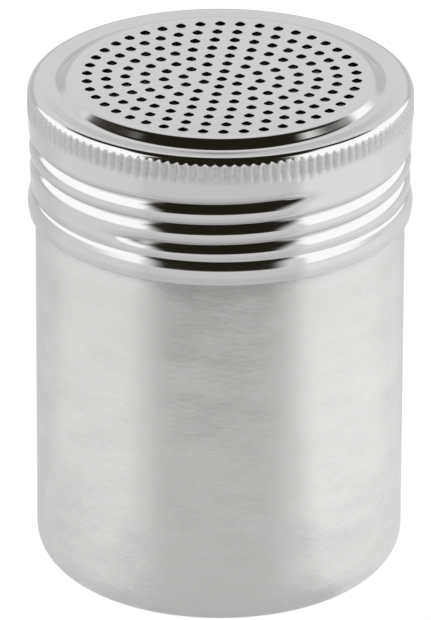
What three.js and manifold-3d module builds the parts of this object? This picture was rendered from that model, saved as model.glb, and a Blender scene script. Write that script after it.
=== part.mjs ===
// A restaurant shaker for salt, flour or ground spice, pressed from stainless sheet: a deep-drawn cup
// with a rolled screw neck, and a one-piece screw lid with a perforated top and a knurled grip.
// Millimetres, +Z up, origin at the centre of the base, on the surface that the shaker stands on.
// Angles are measured about +Z from the front, which is -Y, towards the right, which is +X.
import * as THREE from "three";
import { mergeVertices } from "three/addons/utils/BufferGeometryUtils.js";
import Module from "manifold-3d";

// Driving sizes of the whole shaker
const overallHeight = 95;
const gripDiameter = 70;
const lidHeight = 25.8;

// Sheet thicknesses and fits between the two pressings
const cupSheet = 0.5;
const lidSheet = 0.5;
const seatClearance = 0.3;
const threadClearance = 0.3;
const bodyClearance = 0.45;
const foldClearance = 0.3;

// Perforated top of the lid, inside a rim of this width
const rimWidth = 7.8;
const plateDish = 0.5;
const holeDiameter = 2;
const holeRingStep = 3.49;
const holeMargin = 1.2;
const holesAddedPerRing = 6;
// How far each ring of holes is turned from the right-hand side, as a share of its own spacing
const ringTurnShares = [0.36, -0.28, 0.08, 0.45, -0.19, 0.17, -0.48];

// Step, channel and corner around the plateau
const stepRun = 3.3;
const stepDrop = 1.2;
const channelDepth = 0.2;
const cornerRadius = 1.4;

// Knurled grip band and the plain band under it
const knurlPitch = 1.745;
const knurlDepth = 0.35;
const knurlLength = 4.3;
const knurlFade = 0.7;
const notchShare = 0.48;
const bandInset = 0.15;
const bandStep = 0.4;

// Rolled thread: a right-hand helical groove pressed into the skirt, and a bead rolled out of the neck
const threadPitch = 4;
const grooveDepth = 1.1;
const grooveFrontDrop = 10;
const grooveStart = THREE.MathUtils.degToRad(32);
const grooveTurns = 2.17;
const skirtTaper = 0.3;
const beadStart = THREE.MathUtils.degToRad(180);
const beadTurns = 1.75;
const threadFade = THREE.MathUtils.degToRad(16);

// Rolled lower edge of the lid, where the sheet is folded outwards on itself
const foldHeight = 4.4;
const foldRound = 0.5;
const foldRoll = 1.9;

// Cup, which stands on a flat ring between its base corner and a shallow recess
const baseCornerRadius = 6;
const standingWidth = 5;
const recessDepth = 0.6;
const recessSlope = 1.6;
const shoulderRise = 1.5;
const shoulderInset = 0.4;
const lipDiameter = 1.6;

// Facets, in counts
const facets = 36;
const holeFacets = 7;
const threadRows = 6;
const hiddenThreadRows = 2;
const roundSteps = 4;
const stepSteps = 4;
const smallSteps = 2;

// Length by which a cutter passes through the surface that it cuts
const overrun = 1;

// Vertices nearer than this are one vertex
const mergeDistance = 0.001;

const fullTurn = 2 * Math.PI;

// Radii of the lid, from the grip inwards
const gripRadius = gripDiameter / 2;
const bandRadius = gripRadius - bandInset;
const skirtRadius = bandRadius - skirtTaper;
const foldRadius = skirtRadius + lidSheet;
const skirtBore = skirtRadius - lidSheet;
const plateauRadius = gripRadius - rimWidth;

// Radii of the cup, which follow the lid that has to pass over it
const neckRadius = skirtBore - grooveDepth - threadClearance;
const beadHeight = skirtBore - threadClearance - neckRadius;
const bodyRadius = skirtBore - bodyClearance;
const recessEdge = bodyRadius - baseCornerRadius - standingWidth;
const recessRadius = recessEdge - recessSlope;

// Heights, from the top down
const channelTop = overallHeight - stepDrop;
const shoulderTop = channelTop + channelDepth;
const cornerFoot = shoulderTop - cornerRadius;
const knurlFoot = cornerFoot - knurlLength;
const bandTop = knurlFoot - bandStep;
const grooveFront = overallHeight - grooveFrontDrop;
const beadFront = grooveFront - threadPitch / 2;
const grooveHigh = grooveFront + (threadPitch * grooveStart) / fullTurn + threadPitch / 2;
const grooveLow = grooveHigh - threadPitch * (grooveTurns + 1);
const beadHigh = beadFront + (threadPitch * beadStart) / fullTurn + threadPitch / 2;
const beadLow = beadHigh - threadPitch * (beadTurns + 1);
const neckFoot = grooveLow + shoulderInset;
const lidFoot = overallHeight - lidHeight;
const foldTop = lidFoot + foldHeight;
const skirtFoot = foldTop + foldClearance;
const lipTop = channelTop - lidSheet - seatClearance;

const wasm = await Module();
wasm.setup();

// Triangles as a solid, its shared vertices merged and the triangles that this closes up left out
function toSolid(geometry) {
  const bare = geometry.clone();
  bare.deleteAttribute("normal");
  bare.deleteAttribute("uv");
  const merged = mergeVertices(bare, mergeDistance);
  const vertProperties = merged.attributes.position.array;
  const corners = merged.index.array;
  const kept = [];
  for (let i = 0; i < corners.length; i += 3) {
    const [a, b, c] = corners.slice(i, i + 3);
    if (a !== b && b !== c && c !== a) kept.push(a, b, c);
  }
  const triVerts = new Uint32Array(kept);
  return new wasm.Manifold(new wasm.Mesh({ numProp: 3, vertProperties, triVerts }));
}

// A solid back as triangles for a mesh
function toGeometry(solid) {
  const { vertProperties, triVerts } = solid.getMesh();
  const geometry = new THREE.BufferGeometry();
  geometry.setAttribute("position", new THREE.BufferAttribute(vertProperties, 3));
  geometry.setIndex(new THREE.BufferAttribute(triVerts, 1));
  geometry.computeVertexNormals();
  return geometry;
}

// Points along a circular arc, from one angle to another, in a profile's own plane
function arc(centreRadius, centreHeight, radius, from, to, steps) {
  const points = [];
  for (let i = 0; i <= steps; i += 1) {
    const angle = from + ((to - from) * i) / steps;
    points.push([centreRadius + radius * Math.cos(angle), centreHeight + radius * Math.sin(angle)]);
  }
  return points;
}

// How strongly a helical roll shapes the wall at an angle and height: 1 on its centre line, 0 half a
// pitch away, and fading out at both ends of its run
function rollShare(angle, height, { front, start, turns }) {
  const along = angle + fullTurn * Math.round((height - front) / threadPitch - angle / fullTurn);
  const away = height - front - (threadPitch * along) / fullTurn;
  const inside = Math.min(start - along, along - (start - fullTurn * turns));
  const fade = THREE.MathUtils.smoothstep(inside, 0, threadFade);
  return (fade * (1 + Math.cos((fullTurn * away) / threadPitch))) / 2;
}

// Profile points of a rolled wall, upwards: one for each row that climbs with the thread round the
// wall, with a number of rows to each pitch
function rolledRows(wall, roll, count) {
  const rise = threadPitch / count;
  const first = Math.floor((roll.low - threadPitch - roll.front) / rise);
  const last = Math.ceil((roll.high - roll.front) / rise);
  const rows = [];
  for (let row = first; row <= last; row += 1) {
    const height = roll.front + rise * row;
    rows.push([wall(height), height, { wall, roll }]);
  }
  return rows;
}

// A closed profile of [radius, height] points revolved about +Z. A row of a rolled wall climbs one
// pitch in a turn, so that it meets the next row but stays between the wall's two ends.
function revolve(profile) {
  const points = profile.map(([radius, height]) => new THREE.Vector2(radius, height));
  const geometry = new THREE.LatheGeometry(points, facets).rotateX(Math.PI / 2);
  const position = geometry.attributes.position;
  for (let section = 0; section <= facets; section += 1) {
    const turn = section / facets;
    const angle = fullTurn * turn;
    profile.forEach(([, row, rolled], i) => {
      if (!rolled) return;
      const { wall, roll } = rolled;
      const height = THREE.MathUtils.clamp(row + threadPitch * turn, roll.low, roll.high);
      const radius = wall(height) + roll.outwards * rollShare(angle, height, roll);
      const vertex = section * profile.length + i;
      position.setXYZ(vertex, radius * Math.sin(angle), -radius * Math.cos(angle), height);
    });
  }
  return geometry;
}

// The skirt's outer wall leans in slightly from the plain band to the fold
function skirtWall(height) {
  const share = THREE.MathUtils.clamp((bandTop - height) / (bandTop - skirtFoot), 0, 1);
  return bandRadius - skirtTaper * share;
}

// The step between the plateau and the channel is a smooth S, in from the plateau's edge
function stepProfile(lowered, steps) {
  const points = [];
  for (let i = 0; i <= steps; i += 1) {
    const share = i / steps;
    const drop = (stepDrop * (1 - Math.cos(Math.PI * share))) / 2;
    points.push([plateauRadius + stepRun * share, overallHeight - drop - lowered]);
  }
  return points;
}

// Lid: the pressing before it is knurled and perforated, with the thread already in its skirt
function pressedLid() {
  const cornerCentre = gripRadius - cornerRadius;
  const innerCorner = cornerRadius - lidSheet;
  const roll = {
    front: grooveFront,
    start: grooveStart,
    turns: grooveTurns,
    outwards: -grooveDepth,
    low: skirtFoot,
    high: grooveHigh,
  };
  const innerWall = (height) => skirtWall(height) - lidSheet;
  const profile = [
    [0, overallHeight - lidSheet],
    ...stepProfile(lidSheet, smallSteps),
    ...arc(cornerCentre, cornerFoot, innerCorner, Math.PI / 2, 0, smallSteps),
    [gripRadius - lidSheet, knurlFoot],
    [bandRadius - lidSheet, bandTop],
    ...rolledRows(innerWall, roll, hiddenThreadRows).reverse(),
    ...rolledRows(skirtWall, roll, threadRows),
    [bandRadius, bandTop],
    [gripRadius, knurlFoot],
    ...arc(cornerCentre, cornerFoot, cornerRadius, 0, Math.PI / 2, smallSteps),
    ...stepProfile(0, stepSteps).reverse(),
    [0, overallHeight],
  ];
  return revolve(profile);
}

// Knurling cuts: upright V-notches round the grip, run out at their lower ends
function knurlCuts() {
  const count = Math.round((fullTurn * gripRadius) / knurlPitch);
  const pitchAngle = fullTurn / count;
  const halfNotch = (gripRadius * pitchAngle * notchShare) / 2;
  const mouth = (halfNotch * (knurlDepth + overrun)) / knurlDepth;
  const outline = new THREE.Shape();
  outline.moveTo(0, knurlDepth);
  outline.lineTo(-mouth, -overrun);
  outline.lineTo(mouth, -overrun);
  outline.closePath();
  const length = knurlLength + cornerRadius;
  const notch = new THREE.ExtrudeGeometry(outline, { depth: length, steps: 2, bevelEnabled: false });
  const position = notch.attributes.position;
  const layers = [
    { out: knurlDepth * 2, height: -knurlFade },
    { out: 0, height: knurlFade },
    { out: 0, height: length },
  ];
  for (let i = 0; i < position.count; i += 1) {
    const { out, height } = layers[Math.round((position.getZ(i) * 2) / length)];
    position.setY(i, position.getY(i) - out);
    position.setZ(i, height);
  }
  notch.translate(0, -gripRadius, knurlFoot);
  const cuts = [];
  for (let i = 0; i < count; i += 1) {
    cuts.push(toSolid(notch.clone().rotateZ(pitchAngle * (i + notchShare / 2))));
  }
  return cuts;
}

// Perforations: rings of round holes, six more in each ring than in the one inside it, as far out as
// the margin to the plateau's edge allows
function holeCuts() {
  const depth = stepDrop + lidSheet + overrun;
  const punch = new THREE.CylinderGeometry(holeDiameter / 2, holeDiameter / 2, depth, holeFacets);
  punch.rotateX(Math.PI / 2);
  const cuts = [];
  const place = (radius, angle) => {
    const hole = punch.clone().rotateZ(angle);
    hole.translate(radius * Math.cos(angle), radius * Math.sin(angle), overallHeight);
    cuts.push(toSolid(hole));
  };
  place(0, 0);
  const rings = Math.floor((plateauRadius - holeMargin - holeDiameter / 2) / holeRingStep);
  for (let ring = 1; ring <= rings; ring += 1) {
    const count = holesAddedPerRing * ring;
    const turnShare = ringTurnShares[(ring - 1) % ringTurnShares.length];
    for (let i = 0; i < count; i += 1) {
      place(holeRingStep * ring, (fullTurn * (i + turnShare)) / count);
    }
  }
  return cuts;
}

// The perforated plate is dished: it sinks towards the middle, and both its faces alike
function dishPlate(geometry) {
  const position = geometry.attributes.position;
  for (let i = 0; i < position.count; i += 1) {
    const share = Math.hypot(position.getX(i), position.getY(i)) / plateauRadius;
    if (share < 1) position.setZ(i, position.getZ(i) - plateDish * (1 - share * share));
  }
  return geometry;
}

// Lid: knurled, perforated, and its plate then dished
function lidGeometry() {
  const tool = wasm.Manifold.union([...knurlCuts(), ...holeCuts()]);
  const dished = dishPlate(toGeometry(toSolid(pressedLid()).subtract(tool)));
  dished.computeVertexNormals();
  return dished;
}

// Rolled lower edge: the sheet folded outwards and up on itself, with a soft shoulder above
function rolledEdgeGeometry() {
  const roundBottom = lidFoot + foldRound;
  const profile = [
    [skirtBore, foldTop],
    ...arc(skirtBore + foldRound, roundBottom, foldRound, Math.PI, fullTurn - Math.PI / 2, smallSteps),
    ...arc(foldRadius - foldRound, roundBottom, foldRound, -Math.PI / 2, 0, smallSteps),
    ...arc(foldRadius - foldRoll, foldTop - foldRoll, foldRoll, 0, Math.PI / 4, smallSteps),
    [skirtRadius, foldTop],
    [skirtBore, foldTop],
  ];
  return toGeometry(toSolid(revolve(profile)));
}

// Cup: straight body, rounded base with a shallow recess, stepped-in screw neck and a curled lip
function cupGeometry() {
  const lipRadius = lipDiameter / 2;
  const base = baseCornerRadius;
  const floorTop = recessDepth + cupSheet;
  const roll = {
    front: beadFront,
    start: beadStart,
    turns: beadTurns,
    outwards: beadHeight,
    low: beadLow,
    high: beadHigh,
  };
  const outerWall = () => neckRadius;
  const innerWall = () => neckRadius - cupSheet;
  const profile = [
    [0, recessDepth],
    [recessRadius, recessDepth],
    [recessEdge, 0],
    ...arc(bodyRadius - base, base, base, -Math.PI / 2, 0, roundSteps),
    [bodyRadius, neckFoot - shoulderRise],
    [neckRadius, neckFoot],
    ...rolledRows(outerWall, roll, hiddenThreadRows),
    ...arc(neckRadius - lipRadius, lipTop - lipRadius, lipRadius, 0, Math.PI, roundSteps),
    [neckRadius - cupSheet, lipTop - lipDiameter - cupSheet],
    ...rolledRows(innerWall, roll, hiddenThreadRows).reverse(),
    [neckRadius - cupSheet, neckFoot],
    [bodyRadius - cupSheet, neckFoot - shoulderRise],
    ...arc(bodyRadius - base, base, base - cupSheet, 0, -Math.PI / 2, smallSteps),
    [recessEdge, cupSheet],
    [recessRadius, floorTop],
    [0, floorTop],
  ];
  return toGeometry(toSolid(revolve(profile)));
}

const shaker = new THREE.Group();

const brushedStainless = new THREE.MeshStandardMaterial({ color: 0xc4c4c2, roughness: 0.38, metalness: 1 });
const polishedStainless = new THREE.MeshStandardMaterial({ color: 0xd2d2d0, roughness: 0.12, metalness: 1 });

function addPiece(name, geometry, material) {
  const piece = new THREE.Mesh(geometry, material);
  piece.name = name;
  shaker.add(piece);
}

addPiece("cup", cupGeometry(), brushedStainless);
addPiece("lid", lidGeometry(), polishedStainless);
addPiece("lid_rolled_edge", rolledEdgeGeometry(), polishedStainless);

export default shaker;
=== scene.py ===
"""Looks of a stainless shaker for salt, flour or ground spice: a brushed cup, a polished screw lid.

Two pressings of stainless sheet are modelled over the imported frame, in metres and in its axes: the
cup, and the lid with its perforated plate, knurled grip, rolled thread and folded lower edge. The
object's front is -Y, and angles about +Z are measured from the front towards +X.
"""

import math

import bmesh
import bpy
from mathutils import Matrix, Vector


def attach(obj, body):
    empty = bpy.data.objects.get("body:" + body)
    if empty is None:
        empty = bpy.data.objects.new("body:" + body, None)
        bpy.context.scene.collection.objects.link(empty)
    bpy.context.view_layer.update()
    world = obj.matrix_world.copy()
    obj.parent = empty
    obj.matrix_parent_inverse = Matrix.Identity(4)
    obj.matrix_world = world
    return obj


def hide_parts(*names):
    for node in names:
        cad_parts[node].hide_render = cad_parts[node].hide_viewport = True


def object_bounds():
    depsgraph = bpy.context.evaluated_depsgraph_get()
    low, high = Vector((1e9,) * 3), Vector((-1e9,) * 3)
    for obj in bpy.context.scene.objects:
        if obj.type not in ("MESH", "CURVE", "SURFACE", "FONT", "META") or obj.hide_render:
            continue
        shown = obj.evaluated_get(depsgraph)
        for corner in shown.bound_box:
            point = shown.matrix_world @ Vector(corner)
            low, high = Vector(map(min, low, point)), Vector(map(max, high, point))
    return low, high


bl_info = {
    "name": "Stainless spice shaker",
    "version": (1, 0, 0),
    "blender": (4, 5, 0),
    "location": "View3D > Sidebar > Shaker",
    "description": "Models a perforated stainless shaker and the studio that it stands in",
    "category": "Add Mesh",
}

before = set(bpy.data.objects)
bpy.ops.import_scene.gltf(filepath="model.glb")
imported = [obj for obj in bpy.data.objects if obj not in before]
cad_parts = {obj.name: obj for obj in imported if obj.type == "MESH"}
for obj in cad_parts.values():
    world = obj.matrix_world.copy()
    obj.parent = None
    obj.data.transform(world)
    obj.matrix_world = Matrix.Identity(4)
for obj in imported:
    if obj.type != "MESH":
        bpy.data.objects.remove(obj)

MM = 0.001
CAD_BOX = [list(corner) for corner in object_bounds()]
TOP = CAD_BOX[1][2]
GRIP_RADIUS = 0.035
MERGE_DISTANCE = 0.001 * MM
DEGREES_PER_SEGMENT = 5


def linear(colour):
    """An sRGB hex colour as the linear red, green and blue that Blender works in."""
    shares = (int(colour[i : i + 2], 16) / 255 for i in (1, 3, 5))
    return tuple(s / 12.92 if s <= 0.04045 else ((s + 0.055) / 1.055) ** 2.4 for s in shares)


def length(name, description, default):
    """A length that a user may change, in metres."""
    return bpy.props.FloatProperty(
        name=name,
        description=description,
        default=default,
        min=0,
        unit="LENGTH",
        subtype="DISTANCE",
    )


def colour(name, description, default):
    """A colour that a user may change."""
    return bpy.props.FloatVectorProperty(
        name=name,
        description=description,
        default=linear(default),
        size=3,
        min=0,
        max=1,
        subtype="COLOR",
    )


class CupSizes(bpy.types.PropertyGroup):
    """Sizes of the drawn cup"""

    sheet: length("Sheet", "Thickness of the cup's sheet", 0.5 * MM)
    body_radius: length("Body radius", "Outside radius of the straight body", 33.6 * MM)
    base_corner: length("Base corner", "Radius of the rounded corner round the base", 6 * MM)
    standing_width: length("Standing width", "Width of the ring that the cup stands on", 5 * MM)
    recess: length("Recess", "Height of the recess inside the standing ring", 0.6 * MM)
    recess_slope: length("Recess slope", "Run of the slope up into the recess", 1.6 * MM)
    taper_foot: length("Taper foot", "Height at which the body starts to draw in", 66.2 * MM)
    taper_top: length("Taper top", "Height at which the body has drawn in", 69.6 * MM)
    taper: length("Taper", "How far the body draws in under the lid", 0.85 * MM)
    shoulder_top: length("Shoulder top", "Height at which the neck begins", 75.08 * MM)
    shoulder_rise: length("Shoulder rise", "Height of the step in to the neck", 1.5 * MM)
    neck_radius: length("Neck radius", "Outside radius of the neck beside its bead", 32.65 * MM)
    bead_height: length("Bead height", "How far the bead stands out of the neck", 1.1 * MM)
    bead_front: length("Bead front", "Height of the bead's crest at the front", 83 * MM)
    lip_top: length("Lip top", "Height of the curled lip's top", 93 * MM)
    lip_radius: length("Lip radius", "Outside radius of the curled lip's roll", 0.8 * MM)


class LidSizes(bpy.types.PropertyGroup):
    """Sizes of the pressed lid"""

    sheet: length("Sheet", "Thickness of the lid's sheet", 0.5 * MM)
    plateau_radius: length("Plateau radius", "Radius of the perforated plateau", 27.2 * MM)
    dish: length("Dish", "How far the plateau's middle lies under its edge", 0.5 * MM)
    hole_radius: length("Hole radius", "Radius of a perforation", 0.94 * MM)
    hole_ring_step: length("Ring step", "Distance between rings of perforations", 3.49 * MM)
    hole_edge: length("Hole edge", "Width of a perforation's rolled-over edge", 0.06 * MM)
    hole_drift: length("Hole drift", "How far off centre the holes were punched", 0.22 * MM)
    step_run: length("Step run", "Width of the step down from the plateau", 3.3 * MM)
    step_drop: length("Step drop", "Height of the step down from the plateau", 1.3 * MM)
    channel_depth: length("Channel depth", "How far the channel lies under the rim", 0.23 * MM)
    corner_radius: length("Corner radius", "Radius of the corner over the grip", 1.95 * MM)
    flute_depth: length("Flute depth", "Depth of a flute of the knurled grip", 0.35 * MM)
    flute_run_out: length("Flute run-out", "Height in which a flute runs out at its foot", 2.6 * MM)
    grip_foot: length("Grip foot", "Height of the grip's lower edge", 88.3 * MM)
    band_radius: length("Band radius", "Radius of the plain band under the grip", 34.85 * MM)
    skirt_radius: length("Skirt radius", "Radius of the skirt over its folded edge", 34.5 * MM)
    groove_depth: length("Groove depth", "Depth of the rolled thread's groove", 1.06 * MM)
    groove_front: length("Groove front", "Height of the groove's root at the front", 84.6 * MM)
    crease_radius: length("Crease radius", "Radius of the crease over the folded edge", 34.15 * MM)
    fold_radius: length("Fold radius", "Outside radius of the folded edge", 35.04 * MM)
    fold_top: length("Fold top", "Height at which the folded edge meets the skirt", 73.8 * MM)
    foot: length("Foot", "Height of the lid's lower edge", 69.2 * MM)


class ThreadSizes(bpy.types.PropertyGroup):
    """Sizes that the lid's groove and the cup's bead share"""

    pitch: length("Pitch", "Rise of the thread in one turn", 4 * MM)
    fade: bpy.props.FloatProperty(
        name="Fade",
        description="Angle in which a roll runs out at each of its ends",
        default=math.radians(18),
        min=0.01,
        subtype="ANGLE",
    )


class SteelFinishes(bpy.types.PropertyGroup):
    """Colours of the two finishes"""

    polished: colour("Polished steel", "Colour of the polished stainless lid", "#CBCACA")
    brushed: colour("Brushed steel", "Colour of the brushed stainless cup", "#DADAD9")


class StudioSettings(bpy.types.PropertyGroup):
    """The studio round the shaker"""

    dark_side: colour("Dark side", "Colour of the unlit room behind the camera", "#28241C")
    paper: colour("Paper", "Colour of the paper that the shaker stands on", "#7F7F7F")
    softbox_strength: bpy.props.FloatProperty(
        name="Softboxes", description="Strength of the two side softboxes", default=1.6, min=0
    )
    floor_size: length("Floor size", "Length of the floor's side", 12)


def add_node(tree, kind, links=None, **settings):
    """Adds one node. Links are its inputs by name or number, each an output socket or a value."""
    node = tree.nodes.new(kind)
    for name, value in settings.items():
        setattr(node, name, value)
    for name, value in (links or {}).items():
        socket = node.inputs[name]
        if isinstance(value, bpy.types.NodeSocket):
            tree.links.new(value, socket)
        else:
            socket.default_value = value
    return node


def new_material(name):
    """An empty node material and its tree."""
    material = bpy.data.materials.new(name)
    material.use_nodes = True
    material.node_tree.nodes.clear()
    return material, material.node_tree


def axis_place(tree, place):
    """X, Y and height of the point being shaded, and its distance from the shaker's axis."""
    x, y, height = add_node(tree, "ShaderNodeSeparateXYZ", {"Vector": place}).outputs
    across = add_node(tree, "ShaderNodeCombineXYZ", {"X": x, "Y": y})
    out = add_node(tree, "ShaderNodeVectorMath", {0: across.outputs[0]}, operation="LENGTH")
    return x, y, height, out.outputs["Value"]


def mask(tree, *slopes):
    """1 where every value is past its second limit, 0 where one is short of its first."""
    product = 1.0
    for value, none, full, curve in slopes:
        slope = add_node(
            tree,
            "ShaderNodeMapRange",
            {"Value": value, "From Min": none, "From Max": full},
            interpolation_type=curve,
        )
        product = add_node(
            tree, "ShaderNodeMath", {0: product, 1: slope.outputs[0]}, operation="MULTIPLY"
        ).outputs[0]
    return product


def polished_stainless(base_colour, grip_foot):
    """Stainless sheet polished to a mirror after pressing: sharp reflections, slightly uneven."""
    material, tree = new_material("polished_stainless")
    coordinates = add_node(tree, "ShaderNodeTexCoord")
    place = coordinates.outputs["Object"]
    _, _, height, out = axis_place(tree, place)
    # Pressing leaves the sheet very slightly uneven, in patches some 6 mm across.
    waves = add_node(
        tree, "ShaderNodeTexNoise", {"Vector": place, "Scale": 1 / (6 * MM), "Detail": 1}
    ).outputs["Fac"]
    gloss = add_node(
        tree,
        "ShaderNodeMapRange",
        {"Value": waves, "From Min": 0.3, "From Max": 0.7, "To Min": 0.07, "To Max": 0.11},
    )
    wavy = add_node(
        tree, "ShaderNodeBump", {"Strength": 0.25, "Distance": 0.05 * MM, "Height": waves}
    )
    # The polishing mop leaves level hairlines on the skirt, some 2 mm long and 0.3 mm high.
    drawn_out = (0.3 / 2, 0.3 / 2, 1)
    spun = add_node(tree, "ShaderNodeMapping", {"Vector": place, "Scale": drawn_out})
    hairlines = add_node(
        tree,
        "ShaderNodeTexNoise",
        {"Vector": spun.outputs[0], "Scale": 1 / (0.3 * MM), "Detail": 2},
    )
    haired = add_node(
        tree,
        "ShaderNodeBump",
        {
            "Strength": 0.06,
            "Distance": 0.01 * MM,
            "Height": hairlines.outputs["Fac"],
            "Normal": wavy.outputs[0],
        },
    )
    # The knurling wheel leaves the grip rougher and a little duller than the rest, and unevenly,
    # in marks some 0.5 mm across. They fade out at the grip's foot and under its corner.
    knurled = mask(
        tree,
        (height, grip_foot, grip_foot + 2 * MM, "SMOOTHSTEP"),
        (height, grip_foot + 4.7 * MM, grip_foot + 4 * MM, "SMOOTHSTEP"),
        (out, 34.3 * MM, 34.6 * MM, "LINEAR"),
    )
    marks = add_node(
        tree, "ShaderNodeTexNoise", {"Vector": place, "Scale": 1 / (0.5 * MM), "Detail": 2}
    ).outputs["Fac"]
    torn = add_node(
        tree,
        "ShaderNodeMapRange",
        {"Value": marks, "From Min": 0.35, "From Max": 0.65, "To Min": 0.36, "To Max": 0.54},
    )
    rough = add_node(
        tree,
        "ShaderNodeMath",
        {0: knurled, 1: torn.outputs[0], 2: gloss.outputs[0]},
        operation="MULTIPLY_ADD",
    )
    # The punched walls of the perforations are painted dark grey: painted shade for the shadow
    # inside the holes. They are what stands upright within the outermost ring.
    facing = add_node(tree, "ShaderNodeSeparateXYZ", {"Vector": coordinates.outputs["Normal"]})
    level = add_node(tree, "ShaderNodeMath", {0: facing.outputs[2]}, operation="ABSOLUTE")
    punched = mask(
        tree,
        (level.outputs[0], 0.85, 0.6, "LINEAR"),
        (out, 26.4 * MM, 26.2 * MM, "LINEAR"),
    )
    painted_hole_shade = add_node(tree, "ShaderNodeMapRange", {"Value": punched, "To Min": 1.0, "To Max": 0.3})
    # The grip's own slight dullness, and elsewhere the painted shade of the hole walls
    dull_grip_and_hole_shade = add_node(
        tree, "ShaderNodeMapRange", {"Value": knurled, "To Min": painted_hole_shade.outputs[0], "To Max": 0.97}
    )
    tone = add_node(
        tree,
        "ShaderNodeVectorMath",
        {0: tuple(base_colour), 3: dull_grip_and_hole_shade.outputs[0]},
        operation="SCALE",
    )
    steel = add_node(
        tree,
        "ShaderNodeBsdfPrincipled",
        {
            "Base Color": tone.outputs[0],
            "Metallic": 1.0,
            "Roughness": rough.outputs[0],
            "Normal": haired.outputs[0],
        },
    )
    add_node(tree, "ShaderNodeOutputMaterial", {"Surface": steel.outputs[0]})
    return material


def brushed_stainless(base_colour):
    """Stainless brushed while it spins: fine broken lines round it, which blur reflections."""
    material, tree = new_material("brushed_stainless")
    place = add_node(tree, "ShaderNodeTexCoord").outputs["Object"]
    x, y, height, out = axis_place(tree, place)
    # Height plus radius runs on across the base, so the lines are rings there as well.
    along = add_node(tree, "ShaderNodeMath", {0: height, 1: out}, operation="ADD")
    turned = add_node(tree, "ShaderNodeCombineXYZ", {"X": x, "Y": y, "Z": along.outputs[0]})
    # A scratch is about 2 mm long and 0.3 mm high, just coarse enough to show in the render. The
    # brush bit more or less in patches some 12 mm long and 5 mm high.
    grains = []
    for wide, high, roughness in ((2 * MM, 0.3 * MM, 0.6), (12 * MM, 5 * MM, 0.5)):
        scale = (1 / wide, 1 / wide, 1 / high)
        spread = add_node(tree, "ShaderNodeMapping", {"Vector": turned.outputs[0], "Scale": scale})
        grain = add_node(
            tree,
            "ShaderNodeTexNoise",
            {"Vector": spread.outputs[0], "Scale": 1, "Detail": 2, "Roughness": roughness},
        )
        grains.append(grain.outputs["Fac"])
    scratches, patches = grains
    bite = add_node(tree, "ShaderNodeMath", {0: scratches, 1: patches}, operation="ADD")
    # Where the brush bit, the steel is rougher and paler. Towards the mouth it is also rougher, and
    # its colour carries painted shade that darkens it from the foot up.
    mouth = 66 * MM
    finish = []
    # Rows: roughness, then colour, whose foot-to-mouth factors are painted shade.
    for low, high, least, most, at_foot, at_mouth in (
        (0.7, 1.3, 0.29, 0.44, 0.85, 1.12),
        (0.65, 1.35, 0.91, 1.05, 1.12, 0.97),
    ):
        bitten = add_node(
            tree,
            "ShaderNodeMapRange",
            {
                "Value": bite.outputs[0],
                "From Min": low,
                "From Max": high,
                "To Min": least,
                "To Max": most,
            },
        )
        # Height ramp: rougher towards the mouth, and in the colour, painted shade.
        pressed = add_node(
            tree,
            "ShaderNodeMapRange",
            {"Value": height, "From Max": mouth, "To Min": at_foot, "To Max": at_mouth},
        )
        both = add_node(
            tree,
            "ShaderNodeMath",
            {0: bitten.outputs[0], 1: pressed.outputs[0]},
            operation="MULTIPLY",
        )
        finish.append(both.outputs[0])
    rough, shade = finish
    tone = add_node(
        tree, "ShaderNodeVectorMath", {0: tuple(base_colour), 3: shade}, operation="SCALE"
    )
    ridged = add_node(
        tree, "ShaderNodeBump", {"Strength": 0.8, "Distance": 0.03 * MM, "Height": scratches}
    )
    tangent = add_node(tree, "ShaderNodeTangent", direction_type="RADIAL", axis="Z")
    steel = add_node(
        tree,
        "ShaderNodeBsdfPrincipled",
        {
            "Base Color": tone.outputs[0],
            "Metallic": 1.0,
            "Roughness": rough,
            "Anisotropic": 0.9,
            "Anisotropic Rotation": 0.25,
            "Normal": ridged.outputs[0],
            "Tangent": tangent.outputs[0],
        },
    )
    add_node(tree, "ShaderNodeOutputMaterial", {"Surface": steel.outputs[0]})
    return material


def outline(bm, corners):
    """An open outline in the X and Z plane, by each corner's radius, height and rounding radius."""
    points = [Vector((radius, 0, height)) for radius, height, _ in corners]
    verts = [bm.verts.new(point) for point in points]
    for ends in zip(verts, verts[1:]):
        bm.edges.new(ends)
    for i in range(1, len(corners) - 1):
        rounding = corners[i][2]
        if not rounding:
            continue
        turn = (points[i] - points[i - 1]).angle(points[i + 1] - points[i])
        bmesh.ops.bevel(
            bm,
            geom=[verts[i]],
            offset=rounding * math.tan(turn / 2),
            offset_type="OFFSET",
            affect="VERTICES",
            segments=max(2, round(math.degrees(turn) / DEGREES_PER_SEGMENT)),
            profile=0.5,
            material=-1,
        )


def split_rows(bm, edges, low, high, spacing):
    """Splits an outline's edges between two heights into rows about as high as the spacing."""
    for edge in edges:
        heights = sorted(vert.co.z for vert in edge.verts)
        cuts = round(edge.calc_length() / spacing) - 1
        if heights[0] > low - MERGE_DISTANCE and heights[1] < high + MERGE_DISTANCE and cuts > 0:
            bmesh.ops.subdivide_edges(bm, edges=[edge], cuts=cuts)


def spin_round(bm, columns):
    """Spins the outline into a closed ring of the given number of columns."""
    bmesh.ops.spin(
        bm,
        geom=bm.verts[:] + bm.edges[:],
        cent=(0, 0, 0),
        axis=(0, 0, 1),
        dvec=(0, 0, 0),
        angle=2 * math.pi,
        steps=columns,
        use_merge=True,
        use_normal_flip=False,
        use_duplicate=False,
    )
    bmesh.ops.remove_doubles(bm, verts=bm.verts, dist=MERGE_DISTANCE)
    bmesh.ops.recalc_face_normals(bm, faces=bm.faces)


def front_angle(point):
    """Angle of a point about +Z, from the front towards +X."""
    return math.atan2(point.x, -point.y)


def radius_of(point):
    """Distance of a point from the shaker's axis."""
    return math.hypot(point.x, point.y)


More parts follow.
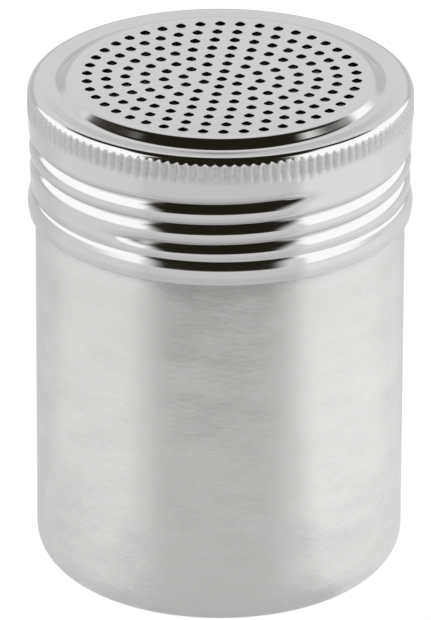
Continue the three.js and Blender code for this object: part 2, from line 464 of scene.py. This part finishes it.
def set_radius(vert, radius):
    """Moves a vertex along its own radius."""
    share = radius / radius_of(vert.co)
    vert.co.x *= share
    vert.co.y *= share


def smoothstep(value, low, high):
    """0 under low, 1 over high, and a smooth climb between."""
    share = min(max((value - low) / (high - low), 0), 1)
    return share * share * (3 - 2 * share)


def roll_at(point, thread, front, start, turns):
    """How far a helical roll has run in at a point, 0 to 1, and the height over its nearest turn.

    The roll passes the front at a height of front. It starts at the angle of its upper end, and
    runs down from there by the given number of turns.
    """
    angle = front_angle(point)
    full = 2 * math.pi
    along = angle + full * round((point.z - front) / thread.pitch - angle / full)
    inside = min(start - along, along - (start - full * turns))
    return smoothstep(inside, 0, thread.fade), point.z - front - thread.pitch * along / full


def round_roll(away, pitch):
    """Height of a round roll, 1 on its crest and 0 half a pitch away from it."""
    return (1 + math.cos(2 * math.pi * away / pitch)) / 2


def finish_piece(bm, name, body, material, sharp_over):
    """Turns a bmesh into a shaded piece that rides on a body and takes its finish from a slot."""
    bmesh.ops.recalc_face_normals(bm, faces=bm.faces)
    for face in bm.faces:
        face.smooth = True
    for edge in bm.edges:
        edge.smooth = edge.calc_face_angle(0) < sharp_over
    mesh = bpy.data.meshes.new(name)
    bm.to_mesh(mesh)
    bm.free()
    piece = bpy.data.objects.new(name, mesh)
    bpy.context.scene.collection.objects.link(piece)
    mesh.materials.append(material)
    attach(piece, body)
    return piece


class SHAKER_OT_add_cup(bpy.types.Operator):
    """Model the drawn cup with its rolled bead and curled lip"""

    bl_idname = "shaker.add_cup"
    bl_label = "Add cup"

    columns = 180
    neck_row = 0.34 * MM
    bead_start = math.pi
    bead_turns = 1.75
    lip_curl = math.radians(290)
    lip_steps = 16
    sharp_over = math.radians(50)

    def execute(self, context):
        sizes = context.scene.shaker_cup
        thread = context.scene.shaker_thread
        body = sizes.body_radius
        neck = sizes.neck_radius
        flat_edge = body - sizes.base_corner - sizes.standing_width
        recess_radius = flat_edge - sizes.recess_slope
        shoulder_foot = sizes.shoulder_top - sizes.shoulder_rise
        lip_centre = (neck - sizes.lip_radius, 0, sizes.lip_top - sizes.lip_radius)

        bm = bmesh.new()
        outline(
            bm,
            [
                # The recessed base, the ring round it and the rounded corner
                (0, sizes.recess, 0),
                (recess_radius, sizes.recess, 1.2 * MM),
                (flat_edge, 0, 1 * MM),
                (body, 0, sizes.base_corner),
                # The wall, and where it draws in
                (body, sizes.taper_foot, 12 * MM),
                (body - sizes.taper, sizes.taper_top, 10 * MM),
                # The step in to the neck, and the neck up to the lip
                (body - sizes.taper, shoulder_foot, 0.6 * MM),
                (neck, sizes.shoulder_top, 0.6 * MM),
                (neck, lip_centre[2], 0),
            ],
        )
        split_rows(bm, list(bm.edges), sizes.shoulder_top, lip_centre[2], self.neck_row)
        top = max(bm.verts, key=lambda vert: vert.co.z)
        # The lip curls inwards and down, most of a turn.
        bmesh.ops.spin(
            bm,
            geom=[top],
            cent=lip_centre,
            axis=(0, 1, 0),
            dvec=(0, 0, 0),
            angle=-self.lip_curl,
            steps=self.lip_steps,
            use_merge=False,
            use_normal_flip=False,
            use_duplicate=False,
        )
        spin_round(bm, self.columns)
        for vert in bm.verts:
            if radius_of(vert.co) > neck - MERGE_DISTANCE and vert.co.z > sizes.shoulder_top:
                fade, away = roll_at(
                    vert.co, thread, sizes.bead_front, self.bead_start, self.bead_turns
                )
                share = fade * round_roll(away, thread.pitch)
                set_radius(vert, radius_of(vert.co) + sizes.bead_height * share)
        bmesh.ops.solidify(bm, geom=bm.faces[:], thickness=sizes.sheet)
        steel = brushed_stainless(context.scene.shaker_steel.brushed)
        cup = finish_piece(bm, "drawn_cup", "cup", steel, self.sharp_over)
        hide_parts("cup")
        return {"FINISHED"}


class SHAKER_OT_add_lid(bpy.types.Operator):
    """Model the pressed lid: perforated plate, fluted grip, rolled thread and folded edge"""

    bl_idname = "shaker.add_lid"
    bl_label = "Add lid"

    flutes = 126
    # Where the first flute lies, right of the front, as a share of their spacing
    flute_turn = 0.44
    # Over 1, this widens a flute's root and thins its crests, which are rounded off by the next.
    flute_power = 1.6
    crest_rounding = 0.05 * MM
    groove_start = math.radians(35)
    groove_turns = 2.21
    # Height over the folded edge in which the groove reaches its depth
    groove_run_in = 0.6 * MM
    # How far each ring of holes is turned from +X, as a share of its own spacing
    ring_turns = (0, 0.36, -0.28, 0.08, 0.45, -0.19, 0.17, -0.48)
    hole_turn = math.radians(0.56)
    hole_sides = 24
    # Heights of the rows of faces in the grip, in the skirt and in the folded edge
    grip_row = 0.5 * MM
    skirt_row = 0.28 * MM
    fold_row = 0.15 * MM
    sharp_over = math.radians(34)

    def execute(self, context):
        sizes = context.scene.shaker_lid
        thread = context.scene.shaker_thread
        rim = TOP - sizes.step_drop + sizes.channel_depth
        bm = self.pressing(sizes, rim)
        self.roll_flutes(bm, sizes, rim)
        self.roll_groove(bm, sizes, thread)
        pressed = bpy.data.meshes.new("pressing")
        bm.to_mesh(pressed)
        bm.free()

        bm = self.hole_walls(sizes)
        bm.from_mesh(pressed)
        bpy.data.meshes.remove(pressed)
        for height in (TOP - sizes.sheet, TOP):
            loops = [
                edge
                for edge in bm.edges
                if edge.is_boundary
                and all(abs(vert.co.z - height) < MERGE_DISTANCE for vert in edge.verts)
            ]
            bmesh.ops.triangle_fill(bm, use_beauty=True, use_dissolve=False, edges=loops)
        for vert in bm.verts:
            share = radius_of(vert.co) / sizes.plateau_radius
            if share < 1:
                vert.co.z -= sizes.dish * (1 - share * share)
        steel = polished_stainless(context.scene.shaker_steel.polished, sizes.grip_foot)
        lid = finish_piece(bm, "screw_lid", "lid", steel, self.sharp_over)
        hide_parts("lid", "lid_rolled_edge")
        return {"FINISHED"}

    def pressing(self, sizes, rim):
        """The lid round its plate: down the outside, round the folded edge and up the inside."""
        sheet = sizes.sheet
        plateau = sizes.plateau_radius
        run = sizes.step_run
        channel = TOP - sizes.step_drop
        band_top = sizes.grip_foot - 1.4 * MM
        inside = sizes.skirt_radius - sheet
        # The plate begins just inside the plateau's edge, and is filled in with its holes.
        top = [
            (plateau - 0.6 * MM, TOP, 0),
            (plateau + 0.2 * run, TOP, 2.2 * MM),
            (plateau + 0.8 * run, channel, 1.6 * MM),
            (plateau + 1.1 * run, channel, 4 * MM),
            (GRIP_RADIUS - sizes.corner_radius, rim, 4 * MM),
        ]
        bm = bmesh.new()
        outline(
            bm,
            [
                *top,
                # The corner, the grip, the band under it and the skirt
                (GRIP_RADIUS, rim, sizes.corner_radius),
                (GRIP_RADIUS, sizes.grip_foot + 1 * MM, 5 * MM),
                (sizes.band_radius, band_top, 5 * MM),
                (sizes.skirt_radius, sizes.fold_top + 1.4 * MM, 3 * MM),
                # The folded edge, from its crease out to its bulge and down to the lid's foot
                (sizes.crease_radius, sizes.fold_top, 0),
                (sizes.crease_radius + 0.3 * MM, sizes.fold_top - 0.4 * MM, 1.2 * MM),
                (sizes.fold_radius + 0.08 * MM, sizes.fold_top - 2.25 * MM, 3.3 * MM),
                (sizes.fold_radius - 0.3 * MM, sizes.foot, 0.5 * MM),
                # The inside, from the foot up to the underside of the plate
                (inside, sizes.foot, 0.35 * MM),
                (inside, sizes.fold_top, 0),
                (sizes.band_radius - sheet, band_top, 0.5 * MM),
                (GRIP_RADIUS - sheet, sizes.grip_foot, 0.5 * MM),
                (GRIP_RADIUS - sheet, rim - sheet, sizes.corner_radius - sheet),
                *((radius, height - sheet, rounding) for radius, height, rounding in reversed(top)),
            ],
        )
        # All the upright walls are split, apart from the inside of the folded edge.
        walls = [
            edge
            for edge in bm.edges
            if (edge.verts[0].co.x + edge.verts[1].co.x) / 2 > inside + 0.1 * MM
        ]
        split_rows(bm, walls, band_top, rim - sizes.corner_radius, self.grip_row)
        split_rows(bm, walls, sizes.fold_top, band_top, self.skirt_row)
        split_rows(bm, walls, sizes.foot, sizes.fold_top, self.fold_row)
        spin_round(bm, 2 * self.flutes)
        return bm

    def roll_flutes(self, bm, sizes, rim):
        """Splits the grip's columns in four and rolls upright flutes into it."""
        high = rim - sizes.corner_radius / 4
        low = sizes.grip_foot - 0.3 * MM
        root = GRIP_RADIUS - sizes.flute_depth
        level = [
            edge
            for edge in bm.edges
            if abs(edge.verts[0].co.z - edge.verts[1].co.z) < MERGE_DISTANCE
            and low < edge.verts[0].co.z < high
            and radius_of(edge.verts[0].co) > root
        ]
        bmesh.ops.subdivide_edges(bm, edges=level, cuts=3, use_grid_fill=True)
        spacing = 2 * math.pi / self.flutes
        for vert in bm.verts:
            radius = radius_of(vert.co)
            if not low < vert.co.z < rim or radius < root:
                continue
            share = front_angle(vert.co) / spacing
            away = abs(share - round(share)) * 2
            run_out = smoothstep(vert.co.z, low, sizes.grip_foot + sizes.flute_run_out)
            limit = GRIP_RADIUS - sizes.flute_depth * (1 - away) ** self.flute_power * run_out
            # The smaller of the two radii, with a soft change from one to the other
            soft = self.crest_rounding * run_out
            set_radius(vert, (radius + limit - math.hypot(radius - limit, soft)) / 2)
        turn = Matrix.Rotation(spacing * self.flute_turn, 3, "Z")
        bmesh.ops.rotate(bm, verts=bm.verts, cent=(0, 0, 0), matrix=turn)

    def roll_groove(self, bm, sizes, thread):
        """Rolls the thread's groove into the skirt: a sharp root outside, a round ridge inside."""
        roots = {}
        slope = (sizes.band_radius - sizes.skirt_radius) / (sizes.grip_foot - sizes.fold_top)
        for vert in bm.verts:
            if not sizes.fold_top < vert.co.z < sizes.grip_foot:
                continue
            fade, away = roll_at(
                vert.co, thread, sizes.groove_front, self.groove_start, self.groove_turns
            )
            fade *= smoothstep(vert.co.z, sizes.fold_top, sizes.fold_top + self.groove_run_in)
            if fade == 0:
                continue
            radius = radius_of(vert.co)
            share = round_roll(away, thread.pitch)
            middle = sizes.skirt_radius - sizes.sheet / 2 + (vert.co.z - sizes.fold_top) * slope
            if radius > middle:
                share = (1 - abs(2 * away / thread.pitch)) ** 2
                column = round(front_angle(vert.co) * self.flutes / math.pi)
                # The root's height to the micrometre, which tells one turn from the next
                root = (column, round(vert.co.z - away, 6))
                if root not in roots or abs(away) < abs(roots[root][1]):
                    roots[root] = (vert, away, radius - sizes.groove_depth * fade)
            set_radius(vert, radius - sizes.groove_depth * fade * share)
        # The row nearest to the root moves onto it in each column, so the root is one line.
        for vert, away, radius in roots.values():
            vert.co.z -= away
            set_radius(vert, radius)
        bmesh.ops.connect_verts(bm, verts=[vert for vert, _, _ in roots.values()])

    def hole_walls(self, sizes):
        """The walls of all the holes, from the plate's underside up to their soft top edges."""
        bm = bmesh.new()
        verts = bmesh.ops.create_circle(
            bm, cap_ends=False, segments=self.hole_sides, radius=sizes.hole_radius
        )["verts"]
        bmesh.ops.translate(bm, verts=verts, vec=(0, 0, TOP - sizes.sheet))
        widen = 1 + sizes.hole_edge / sizes.hole_radius
        for rise, spread in ((sizes.sheet - sizes.hole_edge, 1), (sizes.hole_edge, widen)):
            edges = [edge for edge in bm.edges if all(vert in verts for vert in edge.verts)]
            grown = bmesh.ops.extrude_edge_only(bm, edges=edges)["geom"]
            verts = [item for item in grown if isinstance(item, bmesh.types.BMVert)]
            bmesh.ops.translate(bm, verts=verts, vec=(0, 0, rise))
            bmesh.ops.scale(bm, verts=verts, vec=(spread, spread, 1))
        hole = bpy.data.meshes.new("hole")
        bm.to_mesh(hole)
        bm.clear()
        drift = Vector((sizes.hole_drift, 0, 0))
        for ring, ring_turn in enumerate(self.ring_turns):
            count = max(1, 6 * ring)
            for i in range(count):
                angle = 2 * math.pi * (i + ring_turn) / count + self.hole_turn
                centre = Vector((math.cos(angle), math.sin(angle), 0)) * sizes.hole_ring_step * ring
                place = Matrix.Translation(centre + drift)
                hole.transform(place)
                bm.from_mesh(hole)
                hole.transform(place.inverted())
        bpy.data.meshes.remove(hole)
        return bm


class SHAKER_OT_set_studio(bpy.types.Operator):
    """Set up the floor, the soft light round the shaker and the camera"""

    bl_idname = "shaker.set_studio"
    bl_label = "Set studio"

    # What the paper gives off to the steel, by degrees round from the front: painted light, dim in
    # front and behind, bright at the sides. It is a share of white, as in the next table.
    paper_round = (
        (-180, 0.7),
        (-150, 0.66),
        (-118, 0.72),
        (-98, 0.87),
        (-52, 0.87),
        (-40, 0.75),
        (40, 0.75),
        (52, 1.04),
        (96, 1.04),
        (118, 0.92),
        (150, 0.7),
        (180, 0.7),
    )
    # The same by millimetres from the shaker's axis: a painted shadow, dim close to the shaker
    paper_out = ((0, 0.7), (44, 0.68), (62, 0.8), (90, 0.84), (145, 0.95), (170, 1))
    paper_reach = 200
    # The share that a ramp's 1 stands for, as its colours go no higher
    brightest = 1.2
    # What the camera itself sees of the paper's light, so that it comes out white
    paper_seen = 0.92

    focal_length = 493.2
    sensor_width = 36
    camera_place = (-0.777595 * MM, -1406.430101 * MM, 708.548915 * MM)
    camera_pitch = math.radians(25.145)
    camera_roll = math.radians(0.207)

    def execute(self, context):
        settings = context.scene.shaker_studio
        self.add_floor(context, settings)
        self.add_light(context, settings)
        self.add_camera(context)
        context.scene.view_settings.view_transform = "Standard"
        return {"FINISHED"}

    def add_floor(self, context, settings):
        """A plain white floor that stays white to the camera and keeps the shaker's shadow."""
        bm = bmesh.new()
        bmesh.ops.create_grid(bm, x_segments=8, y_segments=8, size=settings.floor_size / 2)
        mesh = bpy.data.meshes.new("floor")
        bm.to_mesh(mesh)
        bm.free()
        floor = bpy.data.objects.new("floor", mesh)
        context.scene.collection.objects.link(floor)
        mesh.materials.append(self.white_paper(settings.paper))

    def white_paper(self, base_colour):
        """White studio paper, matt: it mirrors in the steel with painted light and a painted shadow,
        and holds a soft shadow.
        """
        material, tree = new_material("white_paper")
        place = add_node(tree, "ShaderNodeTexCoord").outputs["Object"]
        x, y, _ = add_node(tree, "ShaderNodeSeparateXYZ", {"Vector": place}).outputs
        front = add_node(tree, "ShaderNodeMath", {0: y, 1: -1.0}, operation="MULTIPLY")
        turn = add_node(tree, "ShaderNodeMath", {0: x, 1: front.outputs[0]}, operation="ARCTAN2")
        out = add_node(tree, "ShaderNodeVectorMath", {0: place}, operation="LENGTH")
        glow = self.brightest**2
        for value, low, high, scale, stops in (
            (turn.outputs[0], -180, 180, math.radians(1), self.paper_round),
            (out.outputs["Value"], 0, self.paper_reach, MM, self.paper_out),
        ):
            share = add_node(
                tree,
                "ShaderNodeMapRange",
                {"Value": value, "From Min": low * scale, "From Max": high * scale},
            )
            shaded = add_node(tree, "ShaderNodeValToRGB", {"Fac": share.outputs[0]})
            ramp = shaded.color_ramp
            ramp.interpolation = "EASE"
            # A new ramp has two stops already.
            for i, (along, light) in enumerate(stops):
                position = (along - low) / (high - low)
                stop = ramp.elements[i] if i < 2 else ramp.elements.new(position)
                stop.position = position
                stop.color = (*[light / self.brightest] * 3, 1)
            glow = add_node(
                tree, "ShaderNodeMath", {0: glow, 1: shaded.outputs[0]}, operation="MULTIPLY"
            ).outputs[0]
        path = add_node(tree, "ShaderNodeLightPath")
        by_camera = path.outputs["Is Camera Ray"]
        level = add_node(
            tree,
            "ShaderNodeMix",
            {"Factor": by_camera, "A": glow, "B": self.paper_seen},
            data_type="FLOAT",
        )
        shine = add_node(tree, "ShaderNodeEmission", {"Strength": level.outputs[0]})
        paper = add_node(tree, "ShaderNodeBsdfDiffuse", {"Color": (*base_colour, 1)})
        lit = add_node(tree, "ShaderNodeAddShader", {0: shine.outputs[0], 1: paper.outputs[0]})
        # The light shows to the camera and in the steel, and falls on nothing.
        seen = add_node(
            tree,
            "ShaderNodeMath",
            {0: by_camera, 1: path.outputs["Is Glossy Ray"]},
            operation="ADD",
        )
        mixed = add_node(
            tree,
            "ShaderNodeMixShader",
            {0: seen.outputs[0], 1: paper.outputs[0], 2: lit.outputs[0]},
        )
        add_node(tree, "ShaderNodeOutputMaterial", {"Surface": mixed.outputs[0]})
        return material

    def add_light(self, context, settings):
        """Even light all round, a softbox at each side, and an unlit room behind the camera."""
        world = bpy.data.worlds.new("studio")
        context.scene.world = world
        world.use_nodes = True
        tree = world.node_tree
        tree.nodes.clear()
        way = add_node(tree, "ShaderNodeTexCoord").outputs["Generated"]
        x, y, z = add_node(tree, "ShaderNodeSeparateXYZ", {"Vector": way}).outputs
        front = add_node(tree, "ShaderNodeMath", {0: y, 1: -1.0}, operation="MULTIPLY").outputs[0]
        # Angles: round from the front, over the front horizon, to the right and over the horizon
        turn = add_node(tree, "ShaderNodeMath", {0: x, 1: front}, operation="ARCTAN2").outputs[0]
        climb = add_node(tree, "ShaderNodeMath", {0: z, 1: front}, operation="ARCTAN2").outputs[0]
        side = add_node(tree, "ShaderNodeMath", {0: x}, operation="ARCSINE").outputs[0]
        rise = add_node(tree, "ShaderNodeMath", {0: z}, operation="ARCSINE").outputs[0]

        left = self.window(tree, (turn, -136, -46, 3), (rise, 8, 62, 3))
        right = self.window(tree, (turn, 51, 144, 3), (rise, 4, 62, 3))
        boxes = add_node(
            tree, "ShaderNodeMath", {0: left, 1: right}, operation="MAXIMUM"
        ).outputs[0]
        # The unlit room reaches up and over the shaker. High up it gives way to the softboxes,
        # apart from their front and back edges.
        dark = self.window(tree, (side, -36.8, 34.4, 6), (climb, 8, 130, 4))
        between = self.window(tree, (turn, -58, 60, 5))
        reach = self.window(tree, (turn, -116, 122, 6))
        beside = add_node(tree, "ShaderNodeMath", {0: 1.0, 1: between}, operation="SUBTRACT")
        covered = add_node(
            tree, "ShaderNodeMath", {0: beside.outputs[0], 1: reach}, operation="MINIMUM"
        )
        covered = add_node(
            tree, "ShaderNodeMath", {0: covered.outputs[0], 1: boxes}, operation="MULTIPLY"
        )
        clear = add_node(
            tree, "ShaderNodeMath", {0: 1.0, 1: covered.outputs[0]}, operation="SUBTRACT"
        )
        unlit = add_node(
            tree, "ShaderNodeMath", {0: dark, 1: clear.outputs[0]}, operation="MULTIPLY"
        )
        # The wall low down behind the shaker is a little dimmer than the rest.
        ahead = self.window(tree, (turn, -114, 114, 12))
        above = mask(tree, (rise, math.radians(15), math.radians(23), "SMOOTHSTEP"))
        full = add_node(tree, "ShaderNodeMath", {0: ahead, 1: above}, operation="MAXIMUM")
        walls = add_node(
            tree,
            "ShaderNodeMix",
            {"Factor": full.outputs[0], "A": 0.75, "B": 1.0},
            data_type="FLOAT",
        )
        strength = add_node(
            tree,
            "ShaderNodeMix",
            {"Factor": boxes, "A": walls.outputs[0], "B": settings.softbox_strength},
            data_type="FLOAT",
        )
        # Sockets 6 and 7 are the two colours, as those named A and B are numbers.
        room = add_node(
            tree,
            "ShaderNodeMix",
            {0: unlit.outputs[0], 6: (1, 1, 1, 1), 7: (*settings.dark_side, 1)},
            data_type="RGBA",
        )
        lit = add_node(
            tree,
            "ShaderNodeBackground",
            {"Color": room.outputs[2], "Strength": strength.outputs[0]},
        )
        white = add_node(
            tree, "ShaderNodeBackground", {"Color": (1, 1, 1, 1), "Strength": 1.0}
        )
        path = add_node(tree, "ShaderNodeLightPath")
        seen = add_node(
            tree,
            "ShaderNodeMixShader",
            {0: path.outputs["Is Camera Ray"], 1: lit.outputs[0], 2: white.outputs[0]},
        )
        add_node(tree, "ShaderNodeOutputWorld", {"Surface": seen.outputs[0]})

    def window(self, tree, *limits):
        """1 where each angle lies between its limits in degrees, 0 outside, with soft edges."""
        slopes = [
            (angle, math.radians(edge - soft), math.radians(edge + soft), "SMOOTHSTEP")
            for angle, low, high, width in limits
            for edge, soft in ((low, width), (high, -width))
        ]
        return mask(tree, *slopes)

    def add_camera(self, context):
        """The camera, as far off and as high as the photograph's."""
        data = bpy.data.cameras.new("camera")
        data.lens = self.focal_length
        data.sensor_width = self.sensor_width
        data.clip_start = 0.05
        data.clip_end = 20
        camera = bpy.data.objects.new("camera", data)
        context.scene.collection.objects.link(camera)
        camera.matrix_world = (
            Matrix.Translation(self.camera_place)
            @ Matrix.Rotation(math.pi / 2 - self.camera_pitch, 4, "X")
            @ Matrix.Rotation(self.camera_roll, 4, "Z")
        )
        context.scene.camera = camera


class SHAKER_PT_panel(bpy.types.Panel):
    """Lists the shaker's pieces, its finishes and its studio"""

    bl_idname = "SHAKER_PT_panel"
    bl_label = "Spice shaker"
    bl_space_type = "VIEW_3D"
    bl_region_type = "UI"
    bl_category = "Shaker"

    def draw(self, context):
        for name in GROUPS:
            group = getattr(context.scene, name)
            box = self.layout.box()
            for setting in group.__annotations__:
                box.prop(group, setting)
        for operator in (SHAKER_OT_add_cup, SHAKER_OT_add_lid, SHAKER_OT_set_studio):
            self.layout.operator(operator.bl_idname)


GROUPS = {
    "shaker_cup": CupSizes,
    "shaker_lid": LidSizes,
    "shaker_thread": ThreadSizes,
    "shaker_steel": SteelFinishes,
    "shaker_studio": StudioSettings,
}
CLASSES = (
    *GROUPS.values(),
    SHAKER_OT_add_cup,
    SHAKER_OT_add_lid,
    SHAKER_OT_set_studio,
    SHAKER_PT_panel,
)


def register():
    """Registers the classes and hangs their settings on the scene."""
    for cls in CLASSES:
        bpy.utils.register_class(cls)
    for name, group in GROUPS.items():
        setattr(bpy.types.Scene, name, bpy.props.PointerProperty(type=group))


def unregister():
    """Takes the settings and the classes away again."""
    for name in GROUPS:
        delattr(bpy.types.Scene, name)
    for cls in reversed(CLASSES):
        bpy.utils.unregister_class(cls)


def main():
    """Builds the shaker and its studio."""
    register()
    bpy.ops.shaker.add_cup()
    bpy.ops.shaker.add_lid()
    bpy.ops.shaker.set_studio()


if __name__ == "__main__":
    main()
